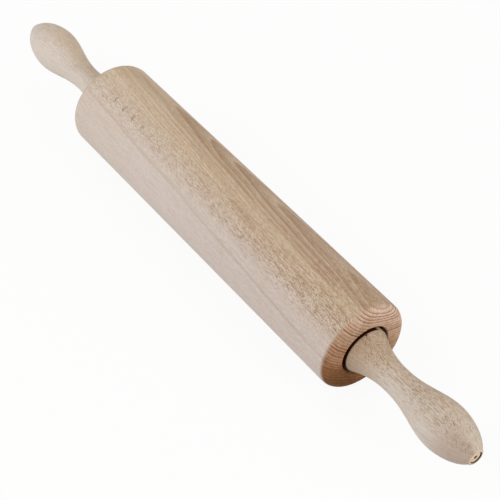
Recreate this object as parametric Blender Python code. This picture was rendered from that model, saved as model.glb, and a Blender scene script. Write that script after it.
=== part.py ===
"""A turned beech rolling pin: a hollow-ended roller that spins on a bushed steel axle.

The axle lies along X, with the middle of the roller at the origin. Each end piece is
modelled in a frame of its own, whose origin is on the axle line in the plane of the
roller's end and whose +X points outwards, so that both ends share their meshes.
All sizes are in metres.
"""
import math

import bmesh
import bpy

# Roller
roller_length = 0.2530
roller_diameter = 0.0565
end_rounding = 0.0053
recess_depth = 0.0110
mouth_rounding = 0.0008
through_bore_clearance = 0.0015

# Handle, as distances outwards from the plane of the roller's end and as diameters
handle_reach = 0.0885
collar_diameter = 0.0280
collar_clearance = 0.00170
collar_standout = 0.0008
collar_back_chamfer = 0.0010
collar_edge_softness = 0.0005
neck_at = 0.0251
neck_diameter = 0.0164
bulb_at = 0.0640
bulb_diameter = 0.0279
tip_wall = 0.00155
tip_rounding = 0.0014
swell_lag = 1.16
nose_fullness = 1.80

# Axle, bushes and thrust washers
axle_diameter = 0.0080
axle_chamfer = 0.0005
axle_grip = 0.0420
running_clearance = 0.00030
end_play = 0.00040
bush_wall = 0.0020
bush_length = 0.0160
bush_flange_diameter = 0.0200
bush_flange_thickness = 0.0018
washer_diameter = 0.0180
washer_thickness = 0.0012

# Handle screw, from the tip into the end of the axle
screw_diameter = 0.0040
screw_head_diameter = 0.0070
screw_head_height = 0.0040
screw_head_clearance = 0.00045
thread_grip = 0.0135
thread_hole_spare = 0.0030
hex_key_width = 0.0030
hex_key_depth = 0.0020

# Plug that closes the tip
plug_length = 0.0070
plug_gap = 0.0004
plug_inset = 0.0006
plug_edge = 0.0003
centre_mark_diameter = 0.0021
centre_mark_depth = 0.0009

# Gap between two pieces that rest against each other
seat_gap = 0.0003

# Facets round the axis
roller_facets = 64
handle_facets = 40
bearing_facets = 32
screw_facets = 24

# Sizes that follow from the ones above
roller_radius = roller_diameter / 2
collar_radius = collar_diameter / 2
recess_radius = collar_radius + collar_clearance
axle_radius = axle_diameter / 2
axle_hole_radius = axle_radius + seat_gap
bush_bore_radius = axle_radius + running_clearance
bush_radius = bush_bore_radius + bush_wall
bush_seat_radius = bush_radius + seat_gap
through_bore_radius = axle_radius + through_bore_clearance
screw_radius = screw_diameter / 2
screw_hole_radius = screw_radius + seat_gap
tip_bore_radius = screw_head_diameter / 2 + screw_head_clearance
plug_radius = tip_bore_radius - plug_gap
tip_radius = tip_bore_radius + tip_wall
tip_fillet = min(tip_rounding, 0.9 * tip_wall)

# Places along the axle, outwards from the plane of the roller's end
recess_floor = -recess_depth
flange_back = recess_floor + seat_gap
flange_face = flange_back + bush_flange_thickness
washer_back = flange_face + end_play
washer_face = washer_back + washer_thickness
collar_back = washer_face + seat_gap
bush_tail = flange_back - bush_length
bush_seat_floor = bush_tail - seat_gap
axle_end = collar_back + axle_grip
axle_hole_floor = axle_end + seat_gap
plug_face = handle_reach - plug_inset
plug_back = plug_face - plug_length
screw_head_top = plug_back - seat_gap
screw_head_seat = screw_head_top - screw_head_height
tip_bore_floor = screw_head_seat - seat_gap
screw_end = axle_end - thread_grip
thread_hole_floor = screw_end - thread_hole_spare


def linear(red, green, blue):
    """Turn an sRGB colour, 0 to 255, into the linear values that a shader takes."""
    return [((value / 255 + 0.055) / 1.055) ** 2.4 for value in (red, green, blue)] + [1.0]


def make_material(name, colour, roughness, metallic=0.0):
    material = bpy.data.materials.new(name)
    material.use_nodes = True
    shader = material.node_tree.nodes["Principled BSDF"]
    shader.inputs["Base Color"].default_value = colour
    shader.inputs["Roughness"].default_value = roughness
    shader.inputs["Metallic"].default_value = metallic
    material.diffuse_color = colour
    return material


def arc(centre_x, centre_r, radius, start, end, steps):
    """Points of an arc in the outline plane, with angles in degrees from +X towards +R."""
    points = []
    for step in range(steps + 1):
        angle = math.radians(start + (end - start) * step / steps)
        points.append((centre_x + radius * math.cos(angle), centre_r + radius * math.sin(angle)))
    return points


def turn_mesh(name, outline, facets, closed=True):
    """Spin an outline of (x, radius) points about X, with a flat facet straight below.

    A closed outline goes round a piece with a hole through it. An open one starts and
    ends on the axis.
    """
    model = bmesh.new()
    tilt = math.pi / facets
    verts = [model.verts.new((x, -r * math.sin(tilt), -r * math.cos(tilt))) for x, r in outline]
    edges = [model.edges.new(pair) for pair in zip(verts, verts[1:])]
    if closed:
        edges.append(model.edges.new((verts[-1], verts[0])))
    bmesh.ops.spin(
        model, geom=verts + edges, cent=(0, 0, 0), axis=(1, 0, 0),
        angle=2 * math.pi, steps=facets, use_merge=True,
    )
    bmesh.ops.remove_doubles(model, verts=model.verts, dist=0.000002)
    bmesh.ops.recalc_face_normals(model, faces=model.faces)
    mesh = bpy.data.meshes.new(name)
    model.to_mesh(mesh)
    model.free()
    mesh.shade_smooth()
    mesh.set_sharp_from_angle(angle=math.radians(32))
    return mesh


def place(name, mesh, material, axis, side=0):
    """Put a mesh in the middle of the pin, or at its right (+1) or left (-1) end."""
    if not mesh.materials:
        mesh.materials.append(material)
    piece = bpy.data.objects.new(name, mesh)
    bpy.context.collection.objects.link(piece)
    piece.parent = axis
    piece.location.x = side * roller_length / 2
    piece.rotation_euler.z = math.pi if side < 0 else 0.0
    return piece


def roller_end_outline():
    """Outline of one end of the roller, from the through bore out to the long side."""
    outline = [
        (bush_seat_floor, through_bore_radius),
        (bush_seat_floor, bush_seat_radius),
        (recess_floor, bush_seat_radius),
        (recess_floor, recess_radius),
    ]
    outline += arc(-mouth_rounding, recess_radius + mouth_rounding, mouth_rounding, -90, 0, 3)
    outline += arc(-end_rounding, roller_radius - end_rounding, end_rounding, 0, 90, 7)
    return outline


def roller_mesh():
    half = roller_length / 2
    right_end = [(half + x, r) for x, r in roller_end_outline()]
    left_end = [(-x, r) for x, r in reversed(right_end)]
    return turn_mesh("roller", right_end + left_end, roller_facets)


def cove_outline(steps=7):
    """Hollow arc from the collar's edge in to the neck, level where it meets the neck."""
    neck_radius = neck_diameter / 2
    drop = collar_radius - neck_radius
    span = neck_at - collar_standout
    radius = (span ** 2 + drop ** 2) / (2 * drop)
    start = collar_standout + collar_edge_softness
    points = []
    for step in range(steps + 1):
        x = start + (neck_at - start) * step / steps
        rise = radius - math.sqrt(radius ** 2 - (neck_at - x) ** 2)
        points.append((x, neck_radius + rise))
    return points


def swell_outline(steps=8):
    """Swelling from the neck out to the thickest part of the bulb, neck left out."""
    neck_radius = neck_diameter / 2
    growth = bulb_diameter / 2 - neck_radius
    points = []
    for step in range(1, steps + 1):
        share = step / steps
        swell = (1 - math.cos(math.pi * share ** swell_lag)) / 2
        points.append((neck_at + (bulb_at - neck_at) * share, neck_radius + growth * swell))
    return points


def nose_outline(steps=8):
    """Egg-shaped nose from the bulb to the tip, then the tip's rounded rim."""
    bulb_radius = bulb_diameter / 2
    nose_end = handle_reach - tip_fillet
    shrink = 1 - (tip_radius / bulb_radius) ** 2
    points = []
    for step in range(1, steps + 1):
        share = math.sin(math.pi / 2 * step / steps)
        x = bulb_at + (nose_end - bulb_at) * share
        points.append((x, bulb_radius * math.sqrt(1 - shrink * share ** nose_fullness)))
    rim = arc(nose_end, tip_radius - tip_fillet, tip_fillet, 90, 0, 4)
    return points + rim[1:]


def handle_mesh():
    """Turned handle, with the axle's hole at its collar and the screw's at its tip."""
    chamfer = collar_back_chamfer
    outline = [
        (collar_back, collar_radius - chamfer),
        (collar_back + chamfer, collar_radius),
        (collar_standout - collar_edge_softness, collar_radius),
    ]
    outline += cove_outline() + swell_outline() + nose_outline()
    outline += [
        (handle_reach, tip_bore_radius),
        (tip_bore_floor, tip_bore_radius),
        (tip_bore_floor, screw_hole_radius),
        (axle_hole_floor, screw_hole_radius),
        (axle_hole_floor, axle_hole_radius),
        (collar_back, axle_hole_radius),
    ]
    return turn_mesh("handle", outline, handle_facets)


def axle_mesh():
    """Straight rod with a tapped hole in each end."""
    half = roller_length / 2
    right_end = [
        (half + thread_hole_floor, 0.0),
        (half + thread_hole_floor, screw_hole_radius),
        (half + axle_end, screw_hole_radius),
        (half + axle_end, axle_radius - axle_chamfer),
        (half + axle_end - axle_chamfer, axle_radius),
    ]
    left_end = [(-x, r) for x, r in reversed(right_end)]
    return turn_mesh("axle_rod", right_end + left_end, bearing_facets, closed=False)


def bush_mesh():
    outline = [
        (bush_tail, bush_bore_radius),
        (flange_face, bush_bore_radius),
        (flange_face, bush_flange_diameter / 2),
        (flange_back, bush_flange_diameter / 2),
        (flange_back, bush_radius),
        (bush_tail, bush_radius),
    ]
    return turn_mesh("bush", outline, bearing_facets)


def washer_mesh():
    outline = [
        (washer_back, axle_hole_radius),
        (washer_face, axle_hole_radius),
        (washer_face, washer_diameter / 2),
        (washer_back, washer_diameter / 2),
    ]
    return turn_mesh("thrust_washer", outline, bearing_facets)


def screw_mesh():
    """Cap-head screw, head outwards, with its thread left plain."""
    outline = [
        (screw_end, 0.0),
        (screw_end, screw_radius),
        (screw_head_seat, screw_radius),
        (screw_head_seat, screw_head_diameter / 2),
        (screw_head_top, screw_head_diameter / 2),
        (screw_head_top, 0.0),
    ]
    return turn_mesh("screw", outline, screw_facets, closed=False)


def cut_hex_socket(screw, side, axis):
    """Cut the hexagonal key socket into the screw's head."""
    model = bmesh.new()
    corner_radius = hex_key_width / math.sqrt(3)
    bmesh.ops.create_cone(
        model, cap_ends=True, segments=6, radius1=corner_radius, radius2=corner_radius,
        depth=2 * hex_key_depth,
    )
    mesh = bpy.data.meshes.new("hex_socket_cutter")
    model.to_mesh(mesh)
    model.free()
    cutter = bpy.data.objects.new(screw.name + "_socket_cutter", mesh)
    bpy.context.collection.objects.link(cutter)
    cutter.parent = axis
    cutter.location.x = side * (roller_length / 2 + screw_head_top)
    cutter.rotation_euler.y = math.pi / 2
    cutter.hide_render = True
    cutter.display_type = "WIRE"
    socket = screw.modifiers.new("hex_socket", "BOOLEAN")
    socket.object = cutter


def plug_mesh():
    """Short dowel with a softened edge and a turner's centre mark in its outer end."""
    outline = [
        (plug_back, 0.0),
        (plug_back, plug_radius),
        (plug_face - plug_edge, plug_radius),
        (plug_face, plug_radius - plug_edge),
        (plug_face, centre_mark_diameter / 2),
        (plug_face - centre_mark_depth, 0.0),
    ]
    return turn_mesh("plug", outline, screw_facets, closed=False)


def make_axis(name):
    axis = bpy.data.objects.new(name, None)
    axis.empty_display_size = roller_radius
    bpy.context.collection.objects.link(axis)
    return axis


def build():
    for old in list(bpy.data.objects):
        bpy.data.objects.remove(old)

    roller_beech = make_material("roller_beech", linear(190, 169, 145), 0.62)
    handle_beech = make_material("handle_beech", linear(196, 178, 161), 0.60)
    plug_wood = make_material("plug_wood", linear(214, 190, 158), 0.65)
    steel = make_material("steel", linear(168, 168, 170), 0.30, metallic=1.0)
    nylon = make_material("nylon", linear(232, 228, 214), 0.45)

    held_axis = make_axis("held_axis")
    roller_axis = make_axis("roller_axis")

    place("roller", roller_mesh(), roller_beech, roller_axis)
    place("axle_rod", axle_mesh(), steel, held_axis)

    bush = bush_mesh()
    washer = washer_mesh()
    handle = handle_mesh()
    screw = screw_mesh()
    plug = plug_mesh()
    for side, word in ((1, "right"), (-1, "left")):
        place(word + "_bush", bush, nylon, roller_axis, side)
        place(word + "_thrust_washer", washer, steel, held_axis, side)
        place(word + "_handle", handle, handle_beech, held_axis, side)
        cut_hex_socket(place(word + "_screw", screw, steel, held_axis, side), side, held_axis)
        place(word + "_plug", plug, plug_wood, held_axis, side)


build()
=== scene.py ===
"""Looks of a turned beech rolling pin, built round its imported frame.

Lengths are in metres. The axle lies along X, and the wood's fibres run nearly along X too,
so every wood here is a solid pattern in its piece's own coordinates: growth rings about a
pith line outside the piece, fibres along that line, and rays that point at it.

Colours are written as sRGB values of 0 to 255. A direction is a pair of Y and Z, and a drift
or slope is a change for each metre along X.
"""
import math

import bmesh
import bpy
from mathutils import Matrix, Vector


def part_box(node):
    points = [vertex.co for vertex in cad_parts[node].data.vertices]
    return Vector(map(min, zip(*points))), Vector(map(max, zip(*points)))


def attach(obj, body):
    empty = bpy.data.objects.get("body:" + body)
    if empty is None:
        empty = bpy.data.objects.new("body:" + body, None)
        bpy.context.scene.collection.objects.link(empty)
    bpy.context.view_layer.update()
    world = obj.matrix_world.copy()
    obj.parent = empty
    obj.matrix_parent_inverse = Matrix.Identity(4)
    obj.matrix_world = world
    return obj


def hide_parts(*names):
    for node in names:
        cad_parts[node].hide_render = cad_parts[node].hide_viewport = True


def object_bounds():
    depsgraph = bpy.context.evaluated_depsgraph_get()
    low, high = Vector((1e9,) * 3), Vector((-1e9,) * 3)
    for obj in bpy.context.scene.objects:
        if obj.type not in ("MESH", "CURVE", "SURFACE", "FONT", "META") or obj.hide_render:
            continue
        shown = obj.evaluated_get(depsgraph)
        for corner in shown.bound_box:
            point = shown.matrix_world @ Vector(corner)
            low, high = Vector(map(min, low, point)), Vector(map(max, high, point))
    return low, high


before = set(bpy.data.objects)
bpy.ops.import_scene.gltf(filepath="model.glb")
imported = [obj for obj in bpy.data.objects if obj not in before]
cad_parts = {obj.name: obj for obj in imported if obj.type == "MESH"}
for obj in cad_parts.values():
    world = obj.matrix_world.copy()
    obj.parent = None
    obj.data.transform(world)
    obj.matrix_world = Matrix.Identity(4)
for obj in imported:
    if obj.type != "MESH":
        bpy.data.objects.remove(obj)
cad_low, cad_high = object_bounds()

# Camera, from the photograph's perspective
image_side = 500
focal_pixels = 1558.9
sensor_width = 36.0
view_azimuth = math.radians(53.63)
view_elevation = math.radians(46.28)
camera_distance = 0.9091
camera_right = 0.01287
camera_up = -0.01981
clip_near = 0.05
clip_far = 30.0

# Places and sizes read from the frame
roller_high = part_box("roller")[1]
handle_low, handle_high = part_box("right_handle")
axle_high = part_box("axle_rod")[1]
plug_low, plug_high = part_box("right_plug")
end_plane = roller_high.x
roller_radius = roller_high.z
collar_back = handle_low.x - end_plane
handle_reach = handle_high.x - end_plane
axle_radius = axle_high.z
plug_radius = plug_high.z
seat_gap = 0.0003

# Roller's ends
end_rounding = 0.0053
recess_depth = 0.0110
recess_radius = 0.0157
mouth_rounding = 0.0008
floor_fillet = 0.0006
bush_seat_radius = 0.0066
bush_seat_floor = -0.0270
through_bore_radius = 0.0055

# Handle, as distances outwards from the plane of the roller's end
collar_radius = 0.0140
collar_standout = 0.0008
collar_back_chamfer = 0.0010
collar_softness = 0.0005
neck_at = 0.0251
neck_radius = 0.0082
bulb_at = 0.0640
bulb_radius = 0.01395
swell_lag = 1.16
nose_fullness = 1.80
tip_radius = 0.0055
tip_fillet = 0.001395
tip_bore_radius = 0.00395
tip_bore_floor = 0.0763
screw_hole_radius = 0.0023

# Plug, which sits in its bore in a gap with painted shade that is darkest on one side
plug_edge = 0.0003
centre_mark_radius = 0.00105
centre_mark_depth = 0.0009
plug_shade_direction = (0.819, -0.574)

# A small worn edge is two facets, whose shared line lies this share of its width in from the corner
edge_middle = 0.3

# On the near collar: a spot of painted light in its painted shade in the gap, and a nick in its edge
gap_light_direction = (0.695, 0.719)
nick_at = (end_plane + 0.0009, -0.0012, 0.0139)
nick_radius = 0.0009

# Steps round the axis, and along the straight and curved parts of the outlines
roller_steps = 256
handle_steps = 192
plug_steps = 96
bush_seat_steps = 4
recess_wall_steps = 6
end_face_steps = 4
roller_side_steps = 40
collar_side_steps = 6
end_rounding_steps = 24
mouth_steps = 8
floor_fillet_steps = 5
tip_fillet_steps = 8
collar_edge_steps = 8
cove_steps = 30
swell_steps = 36
nose_steps = 30

# Points this close are one, and edges that turn more than this stay sharp
weld_distance = 0.000002
crease_angle = math.radians(35)

# The woods' pith lines at x = 0, and how far their fibres drift from X
roller_pith = (0.0440, 0.0665)
roller_drift = (-0.083, 0.0)
roller_ring_pitch = 0.0018
roller_ring_shift = 0.0028
right_pith = (0.0275, 0.0589)
right_drift = (-0.033, 0.070)
left_pith = (-0.030, 0.062)
left_drift = (0.030, 0.012)
handle_ring_pitch = 0.0024

# Where the roller's side is tan and figured, where its end grain is pale, and where a handle is tan
# These tones are partly painted light and shade, and the end grain's dark side is partly a painted
# shadow
roller_tan_direction = (0.643, 0.766)
roller_tan_slope = 0.7
end_pale_direction = (0.6, 0.8)
handle_tan_direction = (0.423, 0.906)

# One broad ring on the roller's pale side: its distance from the pith, and half its width
broad_ring_radius = 0.0836
broad_ring_half = 0.0014

# Row of bold ray marks near the roller's left end
mark_direction = (0.914, 0.407)
mark_slope = 0.038
mark_shift = 0.0034
mark_pitch = 0.0100
mark_start = -0.0943
mark_bow = 140.0
mark_raggedness = 0.0012
mark_half_height = 0.0032

# How rough and how deep the sanded wood is, and how strongly it shines
wood_roughness = 0.54
streak_roughness = 0.14
end_roughness = 0.16
wood_relief = 0.00010
side_shine = 0.50
end_shine = 0.12
handle_shine = 0.35


def linear(red, green, blue):
    """Turn an sRGB colour, 0 to 255, into the linear values that a shader takes."""
    return [((value / 255 + 0.055) / 1.055) ** 2.4 for value in (red, green, blue)] + [1.0]


def arc(centre_x, centre_r, radius, start, end, steps):
    """Points of an arc in the outline plane, with angles in degrees from +X towards +R."""
    points = []
    for step in range(steps + 1):
        angle = math.radians(start + (end - start) * step / steps)
        points.append((centre_x + radius * math.cos(angle), centre_r + radius * math.sin(angle)))
    return points


def run(start, end, steps):
    """Evenly spaced points of a straight line, with its start left out."""
    return [
        tuple(a + (b - a) * step / steps for a, b in zip(start, end))
        for step in range(1, steps + 1)
    ]


def turn(name, outline, steps, side=1, closed=True):
    """Spin an outline of (x, radius) points about X. Side -1 turns the piece to the left end."""
    model = bmesh.new()
    verts = [model.verts.new((x, 0.0, -radius)) for x, radius in outline]
    edges = [model.edges.new(pair) for pair in zip(verts, verts[1:])]
    if closed:
        edges.append(model.edges.new((verts[-1], verts[0])))
    bmesh.ops.spin(
        model, geom=verts + edges, cent=(0, 0, 0), axis=(1, 0, 0),
        angle=2 * math.pi, steps=steps, use_merge=True,
    )
    bmesh.ops.remove_doubles(model, verts=model.verts, dist=weld_distance)
    bmesh.ops.recalc_face_normals(model, faces=model.faces)
    if side < 0:
        model.transform(Matrix.Rotation(math.pi, 4, "Z"))
    mesh = bpy.data.meshes.new(name)
    model.to_mesh(mesh)
    model.free()
    mesh.shade_smooth()
    mesh.set_sharp_from_angle(angle=crease_angle)
    piece = bpy.data.objects.new(name, mesh)
    bpy.context.scene.collection.objects.link(piece)
    return piece


def outwards(outline):
    """Shift an outline from the plane of the roller's end to its place along the axle."""
    return [(end_plane + x, radius) for x, radius in outline]


def roller_outline():
    """Outline of the whole roller, from the bore out over the right end and back over the left."""
    end = [(bush_seat_floor, through_bore_radius), (bush_seat_floor, bush_seat_radius)]
    end += run(end[-1], (-recess_depth, bush_seat_radius), bush_seat_steps)
    end += arc(
        -recess_depth + floor_fillet, recess_radius - floor_fillet, floor_fillet,
        180, 90, floor_fillet_steps,
    )
    end += run(end[-1], (-mouth_rounding, recess_radius), recess_wall_steps)[:-1]
    end += arc(-mouth_rounding, recess_radius + mouth_rounding, mouth_rounding, -90, 0, mouth_steps)
    end += run(end[-1], (0, roller_radius - end_rounding), end_face_steps)[:-1]
    end += arc(-end_rounding, roller_radius - end_rounding, end_rounding, 0, 90, end_rounding_steps)
    right = outwards(end)
    left = [(-x, radius) for x, radius in reversed(right)]
    return right + run(right[-1], left[0], roller_side_steps)[:-1] + left


def collar_outline():
    """Outline of a handle's collar, up to where its front edge starts to ease."""
    chamfer = collar_back_chamfer
    outline = [
        (collar_back, collar_radius - chamfer),
        (collar_back + edge_middle * chamfer, collar_radius - edge_middle * chamfer),
        (collar_back + chamfer, collar_radius),
    ]
    ease_start = collar_standout - collar_softness
    return outline + run(outline[-1], (ease_start, collar_radius), collar_side_steps)


def cove(x):
    """Radius of the hollow between the collar and the neck, which is part of a circle."""
    drop = collar_radius - neck_radius
    span = neck_at - collar_standout
    cove_radius = (span ** 2 + drop ** 2) / (2 * drop)
    return neck_radius + cove_radius - math.sqrt(cove_radius ** 2 - (neck_at - x) ** 2)


def neck_outline():
    """Outline from the collar's eased front edge down the cove to the neck."""
    # The edge is eased by a curve that leaves the collar and meets the cove on their tangents
    outline = []
    ease_start = collar_standout - collar_softness
    ease_end = collar_standout + collar_softness
    for step in range(1, collar_edge_steps):
        t = step / collar_edge_steps
        outline.append((
            ease_start * (1 - t) ** 2 + 2 * collar_standout * t * (1 - t) + ease_end * t ** 2,
            collar_radius * (1 - t ** 2) + cove(ease_end) * t ** 2,
        ))
    for step in range(cove_steps + 1):
        x = ease_end + (neck_at - ease_end) * step / cove_steps
        outline.append((x, cove(x)))
    return outline


def bulb_outline():
    """Outline from the neck over the bulb to the flat of the tip."""
    outline = []
    for step in range(1, swell_steps + 1):
        share = step / swell_steps
        swell = (1 - math.cos(math.pi * share ** swell_lag)) / 2
        outline.append((
            neck_at + (bulb_at - neck_at) * share,
            neck_radius + (bulb_radius - neck_radius) * swell,
        ))

    nose_end = handle_reach - tip_fillet
    shrink = 1 - (tip_radius / bulb_radius) ** 2
    for step in range(1, nose_steps + 1):
        share = math.sin(math.pi / 2 * step / nose_steps)
        radius = bulb_radius * math.sqrt(1 - shrink * share ** nose_fullness)
        outline.append((bulb_at + (nose_end - bulb_at) * share, radius))
    return outline + arc(nose_end, tip_radius - tip_fillet, tip_fillet, 90, 0, tip_fillet_steps)[1:]


def handle_outline():
    """Outline of one handle: collar, cove, bulb and tip, then back through its bores."""
    axle_hole_radius = axle_radius + seat_gap
    axle_hole_floor = axle_high.x - end_plane + seat_gap
    bores = [
        (handle_reach, tip_bore_radius),
        (tip_bore_floor, tip_bore_radius),
        (tip_bore_floor, screw_hole_radius),
        (axle_hole_floor, screw_hole_radius),
        (axle_hole_floor, axle_hole_radius),
        (collar_back, axle_hole_radius),
    ]
    return collar_outline() + neck_outline() + bulb_outline() + bores


def plug_outline():
    """Outline of a plug, with a hollow centre mark in its face."""
    back = plug_low.x - end_plane
    face = plug_high.x - end_plane
    return [
        (back, 0.0),
        (back, plug_radius),
        (face - plug_edge, plug_radius),
        (face - edge_middle * plug_edge, plug_radius - edge_middle * plug_edge),
        (face, plug_radius - plug_edge),
        (face, centre_mark_radius),
        (face - 0.35 * centre_mark_depth, 0.75 * centre_mark_radius),
        (face - centre_mark_depth, 0.0),
    ]


class Shader:
    """One material's node tree, with short calls for the nodes that the finishes use."""

    def __init__(self, name):
        self.material = bpy.data.materials.new(name)
        self.material.use_nodes = True
        self.tree = self.material.node_tree
        self.surface = self.tree.nodes["Principled BSDF"]

    def feed(self, socket, value):
        """Link another node's output to a socket, or set a plain value on it."""
        if isinstance(value, bpy.types.NodeSocket):
            self.tree.links.new(value, socket)
        else:
            socket.default_value = value

    def paint(self, colour):
        """A node's output as it is, and a written colour as a shader takes it."""
        return colour if isinstance(colour, bpy.types.NodeSocket) else linear(*colour)

    def node(self, kind, inputs=(), **settings):
        """A new node of a kind, with what feeds its inputs and how it is set."""
        made = self.tree.nodes.new("ShaderNode" + kind)
        for name, value in settings.items():
            setattr(made, name, value)
        for name, value in dict(inputs).items():
            self.feed(made.inputs[name], value)
        return made

    def math(self, operation, *values):
        return self.node("Math", enumerate(values), operation=operation).outputs[0]

    def times(self, *values):
        product = values[0]
        for value in values[1:]:
            product = self.math("MULTIPLY", product, value)
        return product

    def apart(self, value, other):
        """How far two values are from each other."""
        return self.math("ABSOLUTE", self.math("SUBTRACT", value, other))

    def blend(self, share, low, high):
        """The colour low where share is 0, and high where it is 1."""
        inputs = {0: share, 6: self.paint(low), 7: self.paint(high)}
        return self.node("Mix", inputs, data_type="RGBA").outputs[2]

    def tint(self, share, base, colour):
        """Base multiplied by a colour, as far as share says."""
        inputs = {0: share, 6: self.paint(base), 7: self.paint(colour)}
        return self.node("Mix", inputs, data_type="RGBA", blend_type="MULTIPLY").outputs[2]

    def ramp(self, value, stops):
        """Colour that changes evenly between stops of (value, colour)."""
        made = self.node("ValToRGB", {0: value})
        elements = made.color_ramp.elements
        while len(elements) < len(stops):
            elements.new(0.5)
        for element, (position, colour) in zip(elements, stops):
            element.position = position
            element.color = linear(*colour)
        return made.outputs[0]

    def ease(self, value, start, end, low=0.0, high=1.0):
        """Goes smoothly from low at start to high at end."""
        inputs = {"Value": value, "From Min": start, "From Max": end, "To Min": low, "To Max": high}
        return self.node("MapRange", inputs, interpolation_type="SMOOTHSTEP").outputs[0]

    def vector(self, x, y, z):
        return self.node("CombineXYZ", {0: x, 1: y, 2: z}).outputs[0]

    def noise(self, vector, detail=2.0, roughness=0.5):
        """Smooth noise with features one unit long, from about 0 to 1."""
        inputs = {"Vector": vector, "Scale": 1.0, "Detail": detail, "Roughness": roughness}
        return self.node("TexNoise", inputs).outputs[0]

    def finish(self, colour, roughness, height, depth, shine=None):
        """Feed the surface, with its relief as a height of 0 to 1 over a depth."""
        self.feed(self.surface.inputs["Base Color"], colour)
        self.feed(self.surface.inputs["Roughness"], roughness)
        if shine is not None:
            self.feed(self.surface.inputs["Specular IOR Level"], shine)
        bump = self.node("Bump", {"Strength": 1.0, "Distance": depth, "Height": height})
        self.feed(self.surface.inputs["Normal"], bump.outputs[0])
        return self.material


class Solid(Shader):
    """A finish that is a solid pattern in its piece's own coordinates."""

    def __init__(self, name):
        super().__init__(name)
        self.coordinates = self.node("TexCoord").outputs
        self.place = self.coordinates["Object"]
        self.x, self.y, self.z = self.node("SeparateXYZ", {0: self.place}).outputs

    def spots(self, along, y_count, z_count, detail=2.0, roughness=0.5):
        """Noise with so many features to the metre along X, Y and Z."""
        stretched = self.vector(
            self.times(self.x, along), self.times(self.y, y_count), self.times(self.z, z_count),
        )
        return self.noise(stretched, detail, roughness)

    def bands(self, count, detail=2.0):
        """Noise with so many bands to the metre along X."""
        return self.noise(self.vector(self.times(self.x, count), 0.0, 0.0), detail)

    def from_axis(self):
        """Distance from the piece's axis."""
        radial = self.vector(0.0, self.y, self.z)
        return self.node("VectorMath", {0: radial}, operation="LENGTH").outputs[1]

    def lean(self, direction, slope=0.0):
        """How far a place lies towards a direction, with a slope added along X."""
        level = self.math("MULTIPLY_ADD", self.y, direction[0], self.times(self.z, direction[1]))
        return self.math("MULTIPLY_ADD", self.x, slope, level)

    def towards(self, direction, spread):
        """1 where a place, seen from the axis, lies in a direction, and -1 opposite it."""
        return self.math("DIVIDE", self.lean(direction), spread)

    def painted_gap_shade(self, spread):
        """How dark the painted shade in the gap round a plug is, darkest on one side."""
        return self.ease(self.towards(plug_shade_direction, spread), 0.05, 0.55, 0.3, 1.0)


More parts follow.
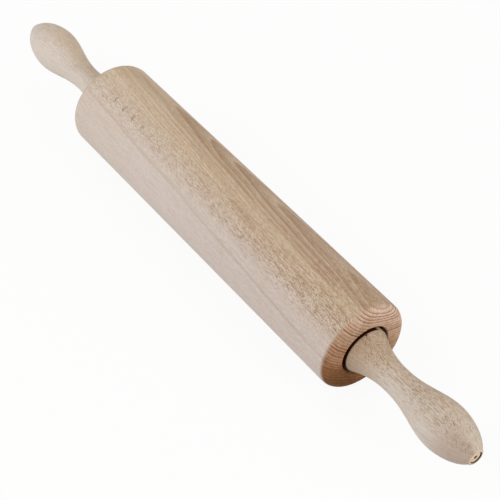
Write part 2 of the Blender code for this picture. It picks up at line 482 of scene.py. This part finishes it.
class Beech(Solid):
    """Unfinished beech, with its rings, fibres and rays ready to be mixed."""

    def __init__(self, name, pith, drift, ring_pitch, seed, ring_shift=0.0):
        super().__init__(name)
        self.seed = seed
        self.spread = self.from_axis()
        self.depth_in = self.math("SUBTRACT", end_plane, self.math("ABSOLUTE", self.x))
        along_normal = self.node("SeparateXYZ", {0: self.coordinates["Normal"]}).outputs[0]
        self.facing = self.math("ABSOLUTE", along_normal)

        # Cross-section coordinates that follow the fibres, which sway a little
        across = self.math("MULTIPLY_ADD", self.x, -drift[0], self.y)
        height = self.math("MULTIPLY_ADD", self.x, -drift[1], self.z)
        sway_reach = 0.0012
        sway = self.noise(self.vector(
            self.math("MULTIPLY_ADD", self.x, 14, seed), self.times(across, 40), self.times(height, 40),
        ), detail=1)
        sway = self.math("MULTIPLY_ADD", sway, 2 * sway_reach, -sway_reach)
        self.across = self.math("ADD", across, sway)
        self.height = self.math("ADD", height, sway)

        from_pith_y = self.math("SUBTRACT", self.across, pith[0])
        from_pith_z = self.math("SUBTRACT", self.height, pith[1])
        self.distance = self.math("SQRT", self.math(
            "ADD", self.times(from_pith_y, from_pith_y), self.times(from_pith_z, from_pith_z),
        ))
        angle = self.math("ARCTAN2", from_pith_y, from_pith_z)
        self.arc_length = self.times(angle, math.hypot(*pith))
        self.make_rings(ring_pitch, ring_shift)

        # Cloudy patches, streaks, fine lines and short threads, from the coarsest to the finest
        self.patch = self.grain(9, 130, detail=2)
        self.cloud = self.math("MULTIPLY_ADD", self.patch, 0.3, -0.15)
        self.streaks = self.grain(12, 620, detail=3, roughness=0.6)
        self.lines = self.grain(18, 2300, detail=1)
        self.threads = self.grain(400, 3400, detail=2, roughness=0.6)

    def make_rings(self, pitch, shift):
        """Rings of uneven width, each darkening outwards to a sharp edge with a pale line beyond."""
        grown = self.math("ADD", self.distance, shift)
        unevenness = self.noise(self.vector(self.times(grown, 170), self.seed, 0.0), detail=1)
        growth = self.math("ADD", self.math("DIVIDE", grown, pitch), unevenness)
        ring = self.math("FLOOR", growth)
        phase = self.math("SUBTRACT", growth, ring)
        strength = self.node("TexWhiteNoise", {"W": ring}, noise_dimensions="1D").outputs[0]
        self.late = self.times(
            self.math("POWER", phase, 2.0), self.ease(phase, 1.0, 0.9),
            self.ease(strength, 0.0, 1.0, 0.35, 1.0),
        )
        self.pale_line = self.times(self.ease(phase, 0.2, 0.0), strength)

    def grain(self, along, through, detail, roughness=0.5):
        """Noise drawn out along the fibres, with so many features to the metre each way."""
        return self.noise(self.vector(
            self.math("MULTIPLY_ADD", self.x, along, self.seed),
            self.times(self.across, through), self.times(self.height, through),
        ), detail, roughness)

    def rays(self, along, thickness, depth, share, randomness=1.0):
        """Marks of thin plates that point at the pith, from 0 to 1, for a share of all plates."""
        cells = self.node("TexVoronoi", {"Scale": 1.0, "Randomness": randomness, "Vector": self.vector(
            self.math("MULTIPLY_ADD", self.x, 1 / along, self.threads),
            self.math("MULTIPLY_ADD", self.arc_length, 1 / thickness, self.streaks),
            self.math("MULTIPLY_ADD", self.distance, 1 / depth, self.threads),
        )})
        rank = self.node("SeparateXYZ", {0: cells.outputs["Color"]}).outputs[0]
        chosen = self.ease(self.math("ADD", rank, share), 1.0, 1.25)
        return self.times(self.ease(cells.outputs["Distance"], 0.44, 0.26), chosen)

    def relief(self, marks):
        """Height of the sanded surface, with the ray marks a little low."""
        grain = self.math("MULTIPLY_ADD", self.threads, 0.5, self.times(self.lines, 0.5))
        return self.math("MULTIPLY_ADD", marks, -0.4, grain)


def roller_ground(wood, lean):
    """Tones of the roller's side: pinkish, partly painted sheen, where lean is low, and tan, partly
    painted shade, where it is high.
    """
    toned = wood.math("ADD", lean, wood.cloud)
    side = wood.blend(wood.ease(lean, -0.35, 0.02), (205, 194, 188), (205, 193, 185))
    side = wood.blend(wood.ease(toned, 0.02, 0.36), side, (208, 194, 180))
    side = wood.blend(wood.ease(toned, 0.30, 0.75), side, (213, 196, 173))
    side = wood.blend(wood.ease(toned, 0.70, 1.00), side, (200, 178, 153))

    # The tone shifts a little from the left end to the right
    rightwards = wood.ease(wood.x, -0.12, 0.13)
    side = wood.tint(rightwards, side, (246, 244, 243))
    left_end = wood.times(wood.ease(wood.x, -0.03, -0.12), wood.ease(lean, 0.30, -0.05))
    side = wood.tint(left_end, side, (252, 250, 245))
    return wood.tint(wood.times(rightwards, wood.ease(lean, 0.10, 0.40)), side, (251, 249, 246))


def roller_grain(wood, lean, side):
    """Add the rings and the fibres to the roller's side."""
    figured = wood.times(
        wood.ease(lean, 0.36, 1.0, 0.08, 1.0), wood.ease(wood.x, -0.11, -0.04, 0.45, 1.0),
    )
    rings = wood.times(wood.late, figured)
    side = wood.tint(rings, side, (216, 196, 172))
    side = wood.tint(wood.times(rings, wood.ease(lean, 0.60, 1.0)), side, (232, 221, 206))
    patched = wood.times(wood.ease(wood.patch, 0.46, 0.64), wood.ease(lean, 0.45, 0.85))
    side = wood.tint(patched, side, (244, 239, 233))
    side = wood.blend(wood.times(figured, 0.4, wood.pale_line), side, (222, 205, 184))
    side = wood.tint(wood.ease(wood.streaks, 0.35, 0.75), side, (249, 246, 242))

    # Fine lines and shorter threads of fibres, strongest between the pale side and the tan one
    woven = wood.times(
        wood.ease(lean, -0.05, 0.30, 0.36, 1.0), wood.ease(wood.x, -0.12, 0.12, 0.65, 1.0),
        wood.ease(lean, 0.55, 0.80, 1.0, 0.80),
    )
    dark_lines = wood.ease(wood.lines, 0.48, 0.70)
    pale_lines = wood.ease(wood.lines, 0.48, 0.30)
    side = wood.tint(wood.times(dark_lines, woven), side, (230, 217, 203))
    side = wood.blend(wood.times(woven, 0.3, pale_lines), side, (220, 204, 186))
    side = wood.tint(wood.times(wood.ease(wood.threads, 0.45, 0.65), woven), side, (198, 176, 152))

    # One broad, darker ring that winds across the pale side
    from_ring = wood.apart(wood.distance, broad_ring_radius)
    return wood.tint(wood.ease(from_ring, broad_ring_half, 0.0001), side, (245, 240, 236))


def bold_marks(wood, lean):
    """A row of bold marks on one side, each bowed a little, that fades towards the middle."""
    beside = wood.math("ADD", wood.lean(mark_direction, mark_slope), mark_shift)
    bowed = wood.math("MULTIPLY_ADD", wood.times(beside, beside), -mark_bow, wood.x)
    along = wood.math("MULTIPLY_ADD", wood.threads, mark_raggedness, bowed)
    counted = wood.math("DIVIDE", wood.math("SUBTRACT", along, mark_start), mark_pitch)
    bar = wood.ease(wood.apart(wood.math("FRACT", counted), 0.5), 0.110, 0.040)
    tall = wood.ease(wood.math("ABSOLUTE", beside), mark_half_height, 0.0012)
    fading = wood.times(
        wood.ease(wood.x, -0.045, -0.082, 0.12, 1.0), wood.ease(wood.x, -0.107, -0.104),
        wood.ease(lean, 0.0, 0.1), wood.ease(wood.threads, 0.36, 0.56, 0.15, 1.0),
    )
    return wood.times(bar, tall, fading)


def roller_end(wood, flakes, paler):
    """End grain of the roller: pinkish at the upper right, and deep brown at the lower left, partly a
    painted shadow of the handle.
    """
    # Darker towards the lower left: partly the wood's tone, partly a painted shadow of the handle
    # besides the lamp's own, and its rings fade there
    shift = wood.times(wood.cloud, 2.2)
    level = wood.math("ADD", wood.lean([part / roller_radius for part in end_pale_direction]), shift)
    level = wood.math("MULTIPLY_ADD", level, 0.5, 0.5)
    end = wood.ramp(level, (
        (0.10, (118, 78, 40)), (0.28, (142, 100, 64)), (0.38, (172, 134, 107)),
        (0.60, (184, 156, 132)), (0.80, (208, 183, 163)), (0.95, (221, 198, 182)),
    ))
    end = wood.blend(paler, end, (196, 172, 148))
    ringed = wood.ease(level, 0.22, 0.42, 0.3, 1.0)
    dark_line = wood.math("MINIMUM", wood.times(wood.late, 1.7), 1.0)
    end = wood.tint(wood.times(dark_line, ringed), end, (178, 145, 118))
    end = wood.blend(wood.times(wood.pale_line, 0.45), end, (222, 198, 176))
    end = wood.tint(wood.times(flakes, 0.35), end, (214, 190, 168))
    end = wood.tint(wood.ease(wood.streaks, 0.35, 0.65), end, (236, 226, 216))
    return wood.tint(wood.ease(wood.threads, 0.45, 0.70), end, (222, 206, 190))


def roller_finish():
    """Beech of the roller: pinkish and even on one side, tan and figured on the other; the two tones
    are partly painted sheen and shade.
    """
    wood = Beech(
        "roller_beech", roller_pith, roller_drift, roller_ring_pitch, seed=0.0,
        ring_shift=roller_ring_shift,
    )
    lean = wood.lean([part / roller_radius for part in roller_tan_direction], roller_tan_slope)
    side = roller_grain(wood, lean, roller_ground(wood, lean))

    # Rays, seen as flakes where the surface faces across them
    zone = wood.times(wood.ease(lean, 0.10, 0.42), wood.ease(lean, 0.86, 0.50))
    flakes = wood.rays(
        0.0008, 0.00028, 0.0010, wood.math("MULTIPLY_ADD", zone, 0.70, 0.05), randomness=0.6,
    )
    dashes = wood.rays(0.0042, 0.00045, 0.0013, wood.math("MULTIPLY_ADD", zone, 0.30, 0.05))
    flaked = wood.times(flakes, wood.ease(wood.x, -0.04, 0.10, 0.66, 1.0))
    side = wood.tint(flaked, side, (200, 174, 138))
    side = wood.tint(wood.times(dashes, 0.16), side, (204, 182, 152))
    side = wood.tint(wood.times(bold_marks(wood, lean), 0.80), side, (190, 163, 130))

    # The left end is paler, and its end grain reaches less far round the edge
    paler = wood.ease(wood.x, 0.0, -0.01, 0.0, 0.7)
    end = roller_end(wood, flakes, paler)
    turned_out = wood.ease(wood.math("MULTIPLY_ADD", paler, -0.4, wood.facing), 0.12, 0.60)
    colour = wood.blend(turned_out, side, end)

    # The recess and the bore are browner than the outside
    inside = wood.times(
        wood.ease(wood.spread, recess_radius + 0.0006, recess_radius + 0.0001),
        wood.ease(wood.depth_in, 0.0003, 0.0014),
    )
    bored_wood = wood.blend(wood.ease(wood.depth_in, 0.0004, 0.0040), (196, 146, 108), (186, 128, 84))
    colour = wood.blend(inside, colour, bored_wood)
    rough_end = wood.math("MULTIPLY_ADD", wood.facing, end_roughness, wood_roughness)
    roughness = wood.math("MULTIPLY_ADD", wood.streaks, streak_roughness, rough_end)
    shine = wood.times(
        wood.ease(wood.facing, 0.12, 0.60, side_shine, end_shine), wood.ease(inside, 1.0, 0.0),
    )
    return wood.finish(colour, roughness, wood.relief(flakes), wood_relief, shine)


def handle_grain(wood, reach, aim, colour, figure):
    """Add rings, fibres and dark dashes to a handle's colour, and return it with the dashes."""
    figured = wood.ease(aim, -0.10, 0.60, 0.35 * figure, figure)
    calmer = wood.ease(reach, 0.050, 0.078, 1.0, 0.6)
    colour = wood.tint(wood.times(wood.late, 0.5 * figure, calmer), colour, (222, 205, 188))
    colour = wood.blend(wood.times(wood.pale_line, 0.2), colour, (216, 202, 188))
    colour = wood.tint(wood.ease(wood.streaks, 0.35, 0.75), colour, (248, 245, 241))
    lined = wood.times(wood.ease(wood.lines, 0.48, 0.70), figured)
    colour = wood.tint(lined, colour, (226, 213, 198))
    threaded = wood.times(figured, calmer, wood.ease(wood.threads, 0.45, 0.65))
    colour = wood.tint(threaded, colour, (205, 187, 168))

    share = wood.math(
        "ADD", wood.ease(wood.patch, 0.35, 0.65, 0.38, 0.51), wood.ease(reach, 0.030, 0.010, 0.0, 0.10),
    )
    dashes = wood.rays(0.0058, 0.00026, 0.0028, share)
    dashed = wood.times(dashes, wood.ease(aim, 0.10, 0.75, 0.15 * figure, figure))
    return wood.tint(dashed, colour, (178, 156, 131)), dashes


def handle_shade_and_nick(wood, reach):
    """Where a handle is dark: painted shade on its collar in the recess and in its tip's bore, and the
    nick.
    """
    # The collar's side in the recess has painted shade, but for a spot of painted light where light
    # reaches into the gap
    outside_lit_spot = wood.ease(wood.towards(gap_light_direction, wood.spread), 0.9925, 0.9650)
    collar_gap_shade = wood.times(wood.ease(reach, 0.0009, 0.0002), outside_lit_spot)
    # Painted shade on the wall of the tip's bore, darkest on one side
    bored = wood.times(
        wood.ease(wood.spread, tip_bore_radius + 0.0002, tip_bore_radius),
        wood.ease(reach, handle_reach - 0.0002, handle_reach - 0.0005),
        wood.painted_gap_shade(wood.spread),
    )
    from_nick = wood.node("VectorMath", {0: wood.place, 1: nick_at}, operation="DISTANCE").outputs[1]
    nick = wood.times(wood.ease(from_nick, nick_radius, 0.4 * nick_radius), 0.85)
    return wood.math("MAXIMUM", wood.math("MAXIMUM", collar_gap_shade, bored), nick)


def handle_finish(name, pith, drift, tones, root_shade, root_end, tip_shade, figure, seed):
    """Beech of a handle, pinkish low on one side and tan on the other, partly as painted light and
    shade, with painted shade at its root and tip.

    tones go from the pinkish side to the tan one, root_end is how far the root's shade
    reaches, and figure says how strong the grain is, from 0 to 1.
    """
    wood = Beech(name, pith, drift, handle_ring_pitch, seed)
    aim = wood.towards(handle_tan_direction, wood.spread)
    reach = wood.times(wood.depth_in, -1.0)
    toned = wood.math("ADD", aim, wood.cloud)
    # Tones round the handle: partly the wood's own, partly painted light, paler where the side light
    # falls
    colour = wood.blend(wood.ease(toned, -0.30, 0.60), tones[0], tones[1])
    tanned = wood.times(wood.ease(toned, 0.60, 1.00), wood.ease(reach, 0.055, 0.085, 1.0, 0.4))
    colour = wood.blend(tanned, colour, tones[2])
    # Painted shade at the root by the collar and at the tip
    rooted = wood.times(wood.ease(reach, root_end, 0.004), wood.ease(aim, 0.80, 1.05, 1.0, 0.3))
    colour = wood.tint(rooted, colour, root_shade)
    tipped = wood.times(wood.ease(reach, 0.056, 0.084), wood.ease(aim, 1.05, 0.60))
    colour = wood.tint(tipped, colour, tip_shade)
    colour, dashes = handle_grain(wood, reach, aim, colour, figure)

    # Cream end grain round the plug
    tip = wood.times(wood.ease(wood.facing, 0.80, 0.99), wood.ease(reach, 0.080, 0.084))
    colour = wood.blend(tip, colour, (206, 183, 156))
    shaded_or_nicked = handle_shade_and_nick(wood, reach)
    # Painted shade in the recess gap and the tip's bore, and the nick, all deep brown and without shine
    colour = wood.blend(shaded_or_nicked, colour, (52, 22, 6))
    roughness = wood.math("MULTIPLY_ADD", wood.streaks, streak_roughness, wood_roughness)
    shine = wood.ease(shaded_or_nicked, 0.0, 1.0, handle_shine, 0.0)
    return wood.finish(colour, roughness, wood.relief(dashes), wood_relief, shine)


def plug_wood(name):
    """Pale dowel set with its end grain outwards, dark in its centre mark and with painted shade round
    its edge.
    """
    wood = Solid(name)
    spread = wood.from_axis()
    grain = wood.spots(60, 1500, 2600, detail=3, roughness=0.6)
    shade = wood.blend(wood.ease(grain, 0.3, 0.7), (212, 193, 168), (196, 174, 145))
    mark = wood.ease(spread, 1.4 * centre_mark_radius, 0.7 * centre_mark_radius)
    # Painted shade in the gap round the plug's edge, darkest on one side
    edge = wood.ease(spread, plug_radius - 0.5 * plug_edge, plug_radius - 0.1 * plug_edge)
    dark = wood.math("MAXIMUM", wood.times(mark, 0.90), wood.times(edge, wood.painted_gap_shade(spread)))
    shade = wood.blend(dark, shade, (66, 32, 12))
    shine = wood.ease(dark, 0.0, 1.0, handle_shine, 0.0)
    return wood.finish(shade, 0.62, grain, wood_relief, shine)


def smooth_plastic(name, colour):
    """Turned nylon, with faint rings from the tool."""
    plastic = Solid(name)
    mottle = plastic.spots(900, 900, 900)
    tool = plastic.bands(9000)
    shade = plastic.tint(plastic.times(mottle, 0.4), colour, (226, 220, 204))
    roughness = plastic.math("MULTIPLY_ADD", mottle, 0.14, 0.36)
    return plastic.finish(shade, roughness, tool, 0.00002)


def turned_steel(name, colour):
    """Bright steel bar, with fine turning marks and a little staining."""
    steel = Solid(name)
    marks = steel.bands(12000, detail=3)
    stain = steel.spots(160, 260, 260, detail=4)
    shade = steel.tint(steel.ease(stain, 0.45, 0.8), colour, (214, 206, 196))
    rough_stain = steel.math("MULTIPLY_ADD", stain, 0.12, 0.18)
    roughness = steel.math("MULTIPLY_ADD", marks, 0.14, rough_stain)
    steel.surface.inputs["Metallic"].default_value = 1.0
    return steel.finish(shade, roughness, marks, 0.00001)


def dress(nodes, material):
    """Give CAD nodes a finish."""
    for name in nodes:
        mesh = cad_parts[name].data
        mesh.materials.clear()
        mesh.materials.append(material)


def stand_for(piece, node, body, material):
    """The piece takes a CAD node's place on its body."""
    piece.data.materials.append(material)
    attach(piece, body)
    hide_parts(node)


def make_wooden_pieces():
    roller = turn("turned_roller", roller_outline(), roller_steps)
    stand_for(roller, "roller", "turning_roller", roller_finish())

    finishes = {
        "right": handle_finish(
            "right_handle_beech", right_pith, right_drift,
            tones=((206, 197, 189), (208, 198, 187), (207, 192, 174)),
            root_shade=(229, 214, 197), root_end=0.030, tip_shade=(221, 210, 202),
            figure=0.9, seed=3.1,
        ),
        "left": handle_finish(
            "left_handle_beech", left_pith, left_drift,
            tones=((212, 202, 194), (212, 201, 192), (206, 189, 169)),
            root_shade=(241, 227, 211), root_end=0.012, tip_shade=(252, 254, 255),
            figure=0.42, seed=5.2,
        ),
    }
    for side, word in ((1, "right"), (-1, "left")):
        handle = turn(word + "_turned_handle", outwards(handle_outline()), handle_steps, side)
        stand_for(handle, word + "_handle", "held_axle", finishes[word])
        plug = turn(word + "_tip_plug", outwards(plug_outline()), plug_steps, side, closed=False)
        stand_for(plug, word + "_plug", "held_axle", plug_wood(word + "_plug_wood"))


def make_running_gear():
    steel = turned_steel("bright_steel", (176, 176, 178))
    nylon = smooth_plastic("nylon", (236, 232, 218))
    dress(["axle_rod", "left_thrust_washer", "right_thrust_washer", "left_screw", "right_screw"], steel)
    dress(["left_bush", "right_bush"], nylon)


def background_share(tree):
    """1 for the rays that see the background itself: the camera's, mirrored and passing ones."""
    path = tree.nodes.new("ShaderNodeLightPath")
    total = path.outputs["Is Camera Ray"]
    for name in ("Is Glossy Ray", "Is Transmission Ray"):
        most = tree.nodes.new("ShaderNodeMath")
        most.operation = "MAXIMUM"
        tree.links.new(total, most.inputs[0])
        tree.links.new(path.outputs[name], most.inputs[1])
        total = most.outputs[0]
    return total


def make_floor():
    """Pale floor under the roller, seen as white apart from the pin's shadow."""
    reach = 6.0
    white_share = 0.91
    floor_level = cad_low.z
    mesh = bpy.data.meshes.new("floor")
    corners = [(-reach, -reach), (reach, -reach), (reach, reach), (-reach, reach)]
    mesh.from_pydata([(x, y, floor_level) for x, y in corners], [], [(0, 1, 2, 3)])
    floor = bpy.data.objects.new("floor", mesh)
    bpy.context.scene.collection.objects.link(floor)
    shader = Shader("pale_floor")
    tree = shader.tree
    shader.surface.inputs["Base Color"].default_value = linear(240, 239, 237)
    shader.surface.inputs["Roughness"].default_value = 0.9
    shader.surface.inputs["Specular IOR Level"].default_value = 0.1
    glow = shader.node("Emission", {"Color": (1, 1, 1, 1), "Strength": 1.0})
    share = shader.times(background_share(tree), white_share)
    mixed = shader.node("MixShader", {0: share, 1: shader.surface.outputs[0], 2: glow.outputs[0]})
    tree.links.new(mixed.outputs[0], tree.nodes["Material Output"].inputs["Surface"])
    mesh.materials.append(shader.material)


def make_world():
    """Warm, even light from all round, behind which the background itself is white."""
    world = bpy.data.worlds.new("studio")
    world.use_nodes = True
    bpy.context.scene.world = world
    tree = world.node_tree
    room = tree.nodes["Background"]
    room.inputs["Color"].default_value = (1.0, 0.985, 0.965, 1)
    room.inputs["Strength"].default_value = 0.62
    white = tree.nodes.new("ShaderNodeBackground")
    white.inputs["Color"].default_value = (1, 1, 1, 1)
    white.inputs["Strength"].default_value = 1.0
    mixed = tree.nodes.new("ShaderNodeMixShader")
    tree.links.new(background_share(tree), mixed.inputs[0])
    tree.links.new(room.outputs[0], mixed.inputs[1])
    tree.links.new(white.outputs[0], mixed.inputs[2])
    tree.links.new(mixed.outputs[0], tree.nodes["World Output"].inputs["Surface"])


def make_lamp(name, direction, distance, size, power):
    """Square soft light that shines on the pin from a direction."""
    data = bpy.data.lights.new(name, "AREA")
    data.shape = "SQUARE"
    data.size = size
    data.energy = power
    lamp = bpy.data.objects.new(name, data)
    bpy.context.scene.collection.objects.link(lamp)
    towards = Vector(direction).normalized()
    lamp.location = towards * distance
    lamp.rotation_mode = "QUATERNION"
    lamp.rotation_quaternion = (-towards).to_track_quat("-Z", "Y")


def make_camera():
    """Camera that sees the pin as the photograph does."""
    level = math.cos(view_elevation)
    right = Vector((math.cos(view_azimuth), math.sin(view_azimuth), 0))
    back = Vector((
        math.sin(view_azimuth) * level, -math.cos(view_azimuth) * level, math.sin(view_elevation),
    ))
    up = back.cross(right)
    data = bpy.data.cameras.new("camera")
    data.sensor_width = sensor_width
    data.lens = focal_pixels / image_side * sensor_width
    data.clip_start = clip_near
    data.clip_end = clip_far
    camera = bpy.data.objects.new("camera", data)
    bpy.context.scene.collection.objects.link(camera)
    place = camera_right * right + camera_up * up + camera_distance * back
    camera.matrix_world = Matrix((
        (right.x, up.x, back.x, place.x),
        (right.y, up.y, back.y, place.y),
        (right.z, up.z, back.z, place.z),
        (0, 0, 0, 1),
    ))
    bpy.context.scene.camera = camera


make_camera()
make_world()
make_lamp("side_light", (-0.20, -0.75, 0.60), 2.0, 1.6, 18.0)
make_lamp("end_light", (0.85, 0.34, 0.40), 2.0, 1.0, 15.0)
make_floor()
make_wooden_pieces()
make_running_gear()
bpy.context.scene.view_settings.view_transform = "Standard"
